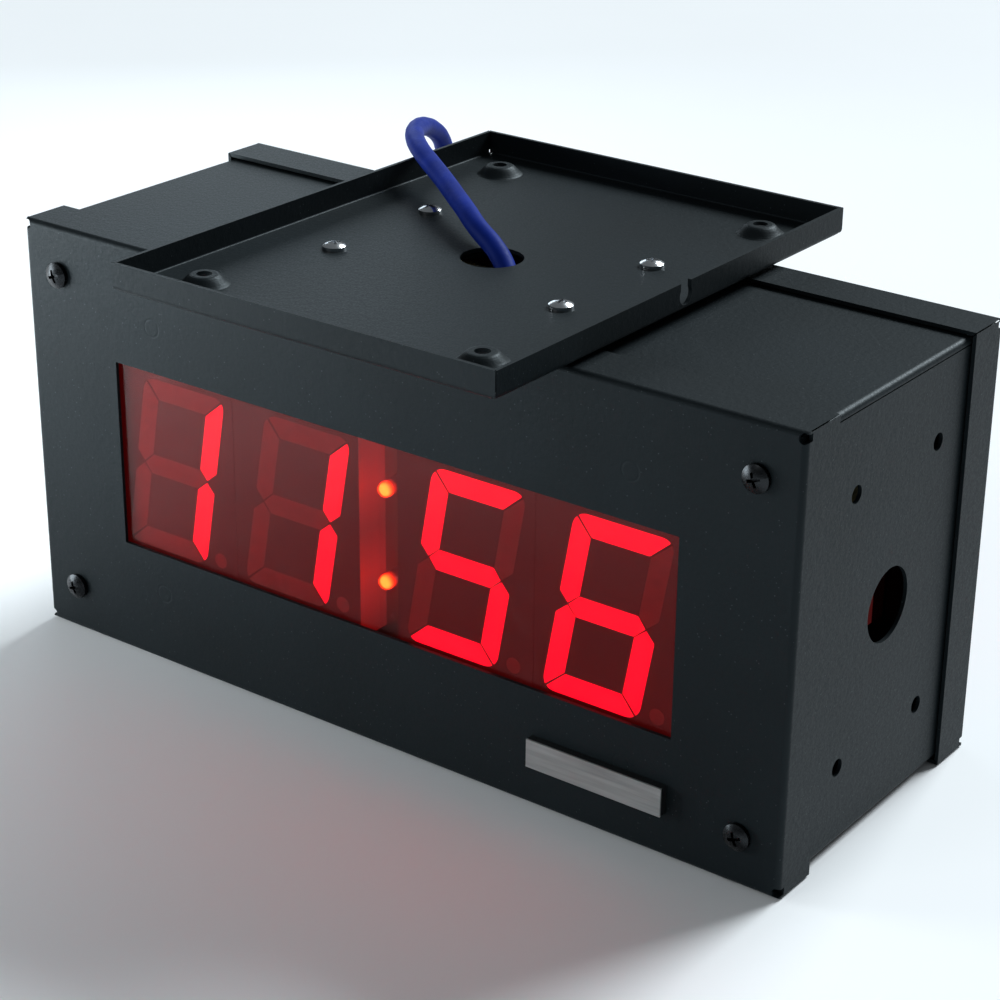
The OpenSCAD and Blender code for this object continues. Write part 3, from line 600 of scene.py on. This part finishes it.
def add_controller_parts():
    """Legs, small parts and windings on the controller board."""
    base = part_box("controller_board")[1].z / MM
    work = Workpiece()
    for low, high, per_side, sides in (((-82, -7), (-68, 7), 12, "xy"), ((-97, -6), (-89, 4), 5, "x"),
                                       ((-8, -5), (6, 5), 8, "x"), ((14, 14), (20, 22), 4, "x")):
        gull_legs(work, low, high, base, per_side, 1, sides)
    for k in range(9):
        chip_part(work, -63, -20 + k * 5, base, True)
        chip_part(work, -86, -22 + k * 5.5, base, True)
    for k in range(6):
        chip_part(work, -16 + (k % 2) * 3.4, -9 + (k // 2) * 4, base, False)
        chip_part(work, 10 + (k % 3) * 4, -22 + (k // 3) * 4, base, False)
    for x in (-53, -47, -41.5):
        for way in (-1, 1):
            work.block((x - 0.4, way * 11.4 - 1, base), (x + 0.4, way * 11.4 + 1, base + 0.5), 0.1, slot=1)
    for y in (-24, 24):
        work.block((-70, y - 2, base), (-62, y + 2, base + 2.2), 0.4, slot=0)
    parts = work.piece("controller_small_parts", [black_part, tin], "housing")


def add_display_parts(side, turn):
    """Solder joints of the digits' pins, chip legs and resistors on the back of a display board."""
    board_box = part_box(f"{side}_display_board")
    back = -min(abs(board_box[0].y), abs(board_box[1].y)) / MM
    work = Workpiece()
    to_back = Matrix(((1, 0, 0, 0), (0, 0, 1, back), (0, -1, 0, 0), (0, 0, 0, 1)))
    digits_x, digits_z, pin_row, pitch = -1.6, 67.2, 30.5, 2.54
    for centre in (-81.4, -31.9, 31.9, 81.4):
        for row in (-pin_row, pin_row):
            for k in range(6):
                x, y = digits_x + centre + (k - 2.5) * pitch, -digits_z - row
                work.turned([(1.0, 0), (0.8, 0.25), (0.45, 0.7), (0.3, 1.3), (0.12, 1.45)],
                            to_back @ Matrix.Translation((x, y, 0)), 10, slot=1)
    behind = Workpiece()
    for x in (-36, 16):
        gull_legs(behind, (x, -67.5), (x + 18, -60), 0, 12, 1, "y")
    for x in (42, 62, 82):
        gull_legs(behind, (x, -48), (x + 10, -44), 0, 8, 1, "y")
    for k in range(8):
        chip_part(behind, -35 + k * 2.4, -56.5, 0, False)
        chip_part(behind, 17 + k * 2.4, -56.5, 0, False)
        chip_part(behind, -72 + k * 4, -78, 0, False)
    work.join(behind, to_back)
    parts = work.piece(f"{side}_board_small_parts", [black_part, tin], f"{side}_display", turn)


clear_plug = plug_plastic()
free_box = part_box("network_plug")
free_plug = add_plug("free_plug", "network_plug", Matrix.Translation((free_box[1].x / MM, 96.3, 4))
                     @ Matrix.Diagonal((-1, -1, 1, 1)))
add_plug("jack_plug", "inner_plug", Matrix.Translation((34, 0, 18.5)))
strap = add_strap()
add_controller_parts()
add_display_parts("front", Matrix())
add_display_parts("rear", Matrix.Rotation(math.pi, 4, "Z"))


# ---- Light and floor ----

def add_light(name, kind, place, target, power, colour, **settings):
    data = bpy.data.lights.new(name, kind)
    data.energy = power
    data.color = colour
    for key, value in settings.items():
        setattr(data, key, value)
    light = bpy.data.objects.new(name, data)
    light.visible_camera = False
    scene.collection.objects.link(light)
    light.location = place
    light.rotation_euler = (Vector(target) - Vector(place)).to_track_quat("-Z", "Y").to_euler()


def add_floor():
    mesh = bpy.data.meshes.new("floor")
    half = 6.0
    corners = [(-half, -half, 0), (half, -half, 0), (half, half, 0), (-half, half, 0)]
    mesh.from_pydata(corners, [], [(0, 1, 2, 3)])
    mesh.materials.append(floor_finish())
    floor = bpy.data.objects.new("floor", mesh)
    scene.collection.objects.link(floor)
    floor.location.z = -0.0005


def add_world():
    world = bpy.data.worlds.new("studio")
    world.use_nodes = True
    background = world.node_tree.nodes["Background"]
    background.inputs["Color"].default_value = (0.87, 0.95, 1.0, 1)
    background.inputs["Strength"].default_value = 0.14
    scene.world = world


COOL = (0.88, 0.96, 1)
add_world()
add_floor()
add_light("key", "SUN", (0.12, 0.85, 0.72), (0, 0, 0), 4.3, COOL, angle=math.radians(30))
add_light("left", "AREA", (-0.5, -0.3, 0.12), (-0.12, -0.05, 0.07), 2.5, COOL, size=0.25)
add_light("behind", "AREA", (-0.55, 0.45, 0.33), (-0.1, 0, 0.14), 0.5, (0.78, 0.91, 1), size=0.3)
add_light("front", "AREA", (-0.4, -1.2, 1.1), (0, 0, 0.07), 1.5, (1, 1, 1), size=0.5)
scene.view_settings.view_transform = "Standard"
scene.view_settings.look = "None"
